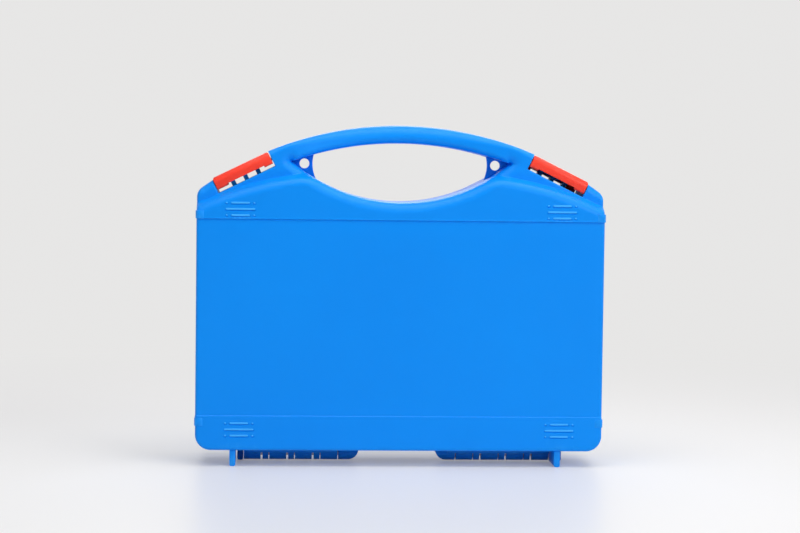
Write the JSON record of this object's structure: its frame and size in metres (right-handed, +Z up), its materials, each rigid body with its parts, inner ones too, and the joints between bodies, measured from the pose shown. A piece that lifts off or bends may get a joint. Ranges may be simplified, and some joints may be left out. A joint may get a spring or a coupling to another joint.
{
  "type": "hard tool case",
  "caption": "Upright moulded tool case: hinged half shells with a split carrying handle over a hand opening and snap latches on the shoulders.",
  "frame": {"origin": "centre of the closed case in plan, on the surface that its feet stand on", "axes": "+X to the right seen from the front, +Y from the front half to the rear half with the seam at Y = 0, +Z up to the handle"},
  "size_m": [0.3306, 0.0776, 0.2758],
  "materials": {
    "shell": "fine satin moulded polypropylene",
    "latch": "satin moulded plastic",
    "pin": "drawn wire"
  },
  "bodies": {
    "rear_half": {"rear_shell": "shell", "rear_right_shoulder": "shell", "rear_left_shoulder": "shell", "rear_handle": "shell", "rear_left_web": "shell", "rear_right_web": "shell", "rear_left_foot": "shell", "rear_right_foot": "shell", "rear_left_knuckles": "shell", "rear_right_knuckles": "shell", "left_hinge_pin": "pin", "right_catch_ribs": "shell", "left_latch_pin": "pin"},
    "front_half": {"front_shell": "shell", "front_right_shoulder": "shell", "front_left_shoulder": "shell", "front_handle": "shell", "front_left_web": "shell", "front_right_web": "shell", "front_left_foot": "shell", "front_right_foot": "shell", "front_left_knuckles": "shell", "front_right_knuckles": "shell", "right_hinge_pin": "pin", "left_catch_ribs": "shell", "right_latch_pin": "pin"},
    "left_latch_lever": {"left_latch": "latch"},
    "right_latch_lever": {"right_latch": "latch"}
  },
  "joints": [
    {"name": "lid_hinge", "type": "hinge", "parent": "rear_half", "child": "front_half", "pos_m": [0, 0, 0.0062], "axis": [1, 0, 0], "range_deg": [0, 180]},
    {"name": "left_latch_pivot", "type": "hinge", "parent": "rear_half", "child": "left_latch_lever", "pos_m": [-0.12755, 0.022, 0.23637], "axis": [-0.8967, 0, -0.4427], "range_deg": [0, 110]},
    {"name": "right_latch_pivot", "type": "hinge", "parent": "front_half", "child": "right_latch_lever", "pos_m": [0.12755, -0.022, 0.23637], "axis": [0.8967, 0, -0.4427], "range_deg": [0, 110]}
  ]
}
